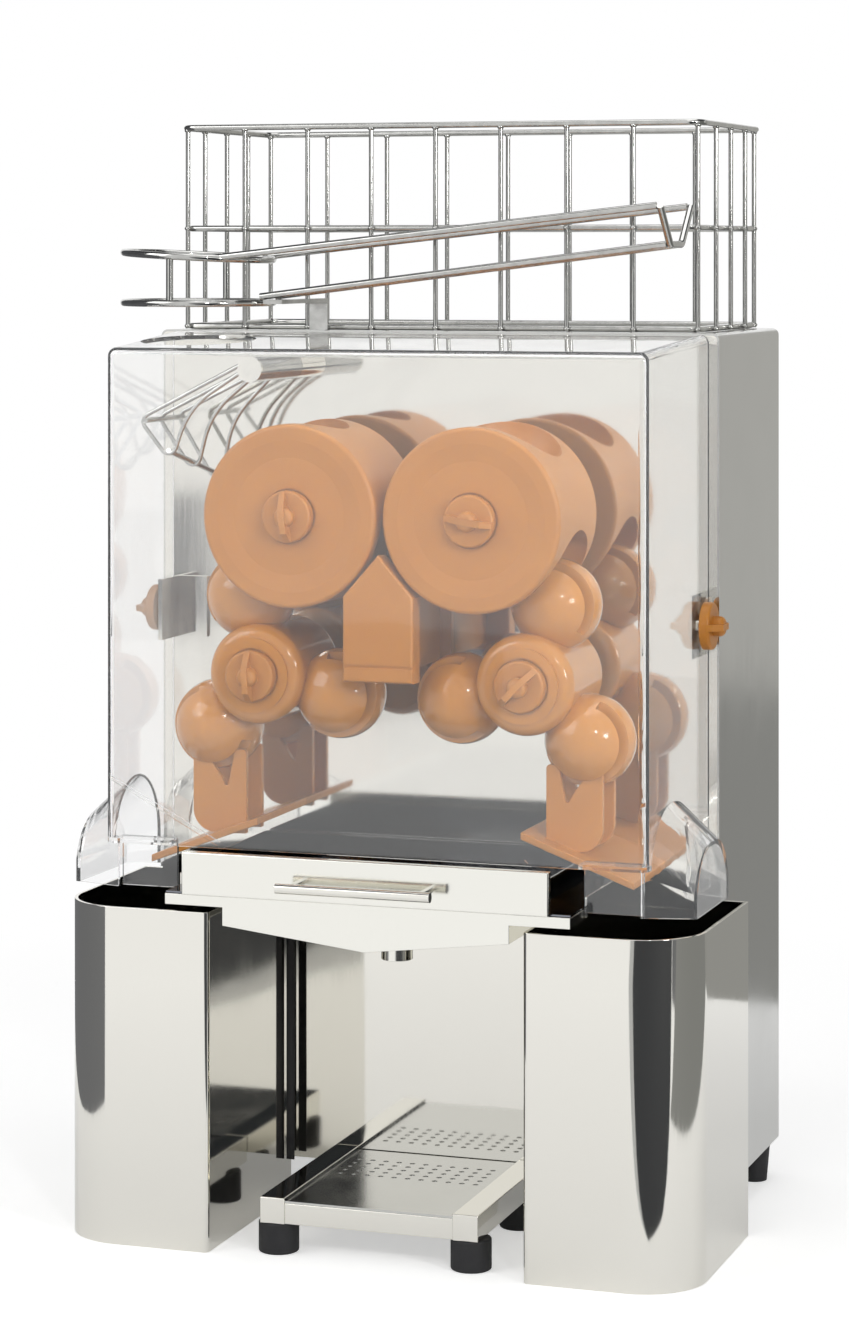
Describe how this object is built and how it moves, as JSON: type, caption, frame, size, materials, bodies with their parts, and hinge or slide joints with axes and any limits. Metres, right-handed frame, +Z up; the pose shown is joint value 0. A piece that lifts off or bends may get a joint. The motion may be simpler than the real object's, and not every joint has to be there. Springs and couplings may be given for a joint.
{
  "type": "automatic orange juicer",
  "caption": "Counter-top citrus press: wire basket and feed track over cup and ball drums behind a clear cover, with a juice tank, pulp drawer, peel bins and a glass stand.",
  "frame": {"origin": "centre of the floor rectangle that the machine covers, on the floor", "axes": "+X to the right seen from the front, +Y towards the back, +Z up"},
  "size_m": [0.4566, 0.3605, 0.78],
  "materials": {
    "polished_steel": "mirror-polished stainless sheet",
    "brushed_steel": "fine brushed stainless sheet",
    "wire_steel": "chromed round wire",
    "clear_plastic": "clear moulded plastic",
    "orange_plastic": "glossy moulded orange plastic",
    "knife_steel": "ground stainless blade",
    "black_plastic": "matt moulded black plastic",
    "rubber": "black rubber",
    "machined_steel": "turned and ground steel",
    "cast_aluminium": "cast and machined",
    "painted_motor": "dark blue-grey enamel"
  },
  "bodies": {
    "cabinet": {"cabinet_shell": "brushed_steel", "bulkhead": "polished_steel", "lower_front_panel": "brushed_steel", "rear_cover": "brushed_steel", "machine_screws": "machined_steel", "base_plate": "brushed_steel", "cabinet_feet": "rubber", "switch_body": "black_plastic", "inlet_socket": "black_plastic", "interlock_switch": "black_plastic", "control_box": "black_plastic", "gear_plate": "cast_aluminium", "plate_spacers": "machined_steel", "front_housings": "cast_aluminium", "ball_bearings": "machined_steel", "shaft_seals": "rubber", "gearbox": "cast_aluminium", "motor": "painted_motor", "ejector_left": "orange_plastic", "ejector_right": "orange_plastic", "knife_holder": "orange_plastic", "knife_blade": "knife_steel", "bulkhead_fittings": "machined_steel"},
    "upper_drum_right": {"upper_shaft_right": "machined_steel", "upper_gear_right": "machined_steel", "cup_drum_right": "orange_plastic"},
    "upper_drum_left": {"upper_shaft_left": "machined_steel", "upper_gear_left": "machined_steel", "cup_drum_left": "orange_plastic"},
    "lower_drum_right": {"lower_shaft_right": "machined_steel", "lower_gear_right": "machined_steel", "ball_drum_right": "orange_plastic"},
    "lower_drum_left": {"lower_shaft_left": "machined_steel", "lower_gear_left": "machined_steel", "ball_drum_left": "orange_plastic"},
    "pinion": {"drive_pinion": "machined_steel"},
    "upper_knob_right": {"cup_knob_right": "orange_plastic"},
    "upper_knob_left": {"cup_knob_left": "orange_plastic"},
    "lower_knob_right": {"ball_knob_right": "orange_plastic"},
    "lower_knob_left": {"ball_knob_left": "orange_plastic"},
    "cover": {"front_cover": "clear_plastic"},
    "clamp_knob_right": {"cover_knob_right": "orange_plastic"},
    "clamp_knob_left": {"cover_knob_left": "orange_plastic"},
    "gate": {"feed_gate": "wire_steel"},
    "drawer": {"drawer_front": "polished_steel", "pulp_drawer": "polished_steel", "drawer_handle": "polished_steel"},
    "tank": {"juice_tank": "polished_steel"},
    "bin_left": {"peel_bin_left": "polished_steel"},
    "bin_right": {"peel_bin_right": "polished_steel"},
    "stand": {"stand_frame": "polished_steel", "stand_plate": "polished_steel", "stand_feet": "rubber"},
    "basket": {"basket_rings": "wire_steel", "basket_uprights": "wire_steel", "drop_rings": "wire_steel", "track_rods": "wire_steel", "track_bracket": "wire_steel"},
    "rocker": {"power_rocker": "black_plastic"},
    "plunger": {"interlock_plunger": "machined_steel"}
  },
  "joints": [
    {"name": "upper_drum_right_spin", "type": "hinge", "parent": "cabinet", "child": "upper_drum_right", "pos_m": [0.066, -0.12325, 0.5043], "axis": [0, -1, 0], "continuous": true},
    {"name": "upper_drum_left_spin", "type": "hinge", "parent": "cabinet", "child": "upper_drum_left", "pos_m": [-0.066, -0.12325, 0.5043], "axis": [0, -1, 0], "continuous": true},
    {"name": "lower_drum_right_spin", "type": "hinge", "parent": "cabinet", "child": "lower_drum_right", "pos_m": [0.098, -0.10725, 0.39176], "axis": [0, -1, 0], "continuous": true},
    {"name": "lower_drum_left_spin", "type": "hinge", "parent": "cabinet", "child": "lower_drum_left", "pos_m": [-0.098, -0.10725, 0.39176], "axis": [0, -1, 0], "continuous": true},
    {"name": "pinion_spin", "type": "hinge", "parent": "cabinet", "child": "pinion", "pos_m": [0.04, 0.03115, 0.33522], "axis": [0, -1, 0], "continuous": true},
    {"name": "upper_knob_right_turn", "type": "hinge", "parent": "upper_drum_right", "child": "upper_knob_right", "pos_m": [0.066, -0.12325, 0.5043], "axis": [0, -1, 0], "range_deg": [0, 360]},
    {"name": "upper_knob_left_turn", "type": "hinge", "parent": "upper_drum_left", "child": "upper_knob_left", "pos_m": [-0.066, -0.12325, 0.5043], "axis": [0, -1, 0], "range_deg": [0, 360]},
    {"name": "lower_knob_right_turn", "type": "hinge", "parent": "lower_drum_right", "child": "lower_knob_right", "pos_m": [0.098, -0.10725, 0.39176], "axis": [0, -1, 0], "range_deg": [0, 360]},
    {"name": "lower_knob_left_turn", "type": "hinge", "parent": "lower_drum_left", "child": "lower_knob_left", "pos_m": [-0.098, -0.10725, 0.39176], "axis": [0, -1, 0], "range_deg": [0, 360]},
    {"name": "cover_slide", "type": "slide", "parent": "cabinet", "child": "cover", "axis": [0, -1, 0], "range_m": [0, 0.16]},
    {"name": "clamp_knob_right_turn", "type": "hinge", "parent": "cabinet", "child": "clamp_knob_right", "pos_m": [0.20426, -0.02435, 0.428], "axis": [1, 0, 0], "range_deg": [0, 360]},
    {"name": "clamp_knob_left_turn", "type": "hinge", "parent": "cabinet", "child": "clamp_knob_left", "pos_m": [-0.20426, -0.02435, 0.428], "axis": [-1, 0, 0], "range_deg": [0, 360]},
    {"name": "gate_lift", "type": "hinge", "parent": "cabinet", "child": "gate", "pos_m": [-0.099, -0.03085, 0.605], "axis": [0, 1, 0], "range_deg": [0, 7]},
    {"name": "drawer_slide", "type": "slide", "parent": "cabinet", "child": "drawer", "axis": [0, -1, 0], "range_m": [0, 0.14]},
    {"name": "tank_slide", "type": "slide", "parent": "cabinet", "child": "tank", "axis": [0, -1, 0], "range_m": [0, 0.14]},
    {"name": "bin_left_slide", "type": "slide", "parent": "cabinet", "child": "bin_left", "axis": [0, -1, 0], "range_m": [0, 0.2]},
    {"name": "bin_right_slide", "type": "slide", "parent": "cabinet", "child": "bin_right", "axis": [0, -1, 0], "range_m": [0, 0.2]},
    {"name": "stand_slide", "type": "slide", "parent": "cabinet", "child": "stand", "axis": [0, -1, 0], "range_m": [0, 0.15]},
    {"name": "basket_lift", "type": "slide", "parent": "cabinet", "child": "basket", "axis": [0, 0, 1], "range_m": [0, 0.15]},
    {"name": "rocker_tilt", "type": "hinge", "parent": "cabinet", "child": "rocker", "pos_m": [-0.2055, 0.12315, 0.56], "axis": [0, 1, 0], "range_deg": [0, 20]},
    {"name": "plunger_push", "type": "slide", "parent": "cabinet", "child": "plunger", "axis": [0, 1, 0], "range_m": [0, 0.003], "stiffness_N_per_m": 200}
  ],
  "couplings": [
    {"joint": "upper_drum_left_spin", "follows": "upper_drum_right_spin", "ratio": -1},
    {"joint": "lower_drum_right_spin", "follows": "upper_drum_right_spin", "ratio": -1},
    {"joint": "lower_drum_left_spin", "follows": "upper_drum_right_spin", "ratio": 1},
    {"joint": "pinion_spin", "follows": "upper_drum_right_spin", "ratio": 2.6}
  ]
}
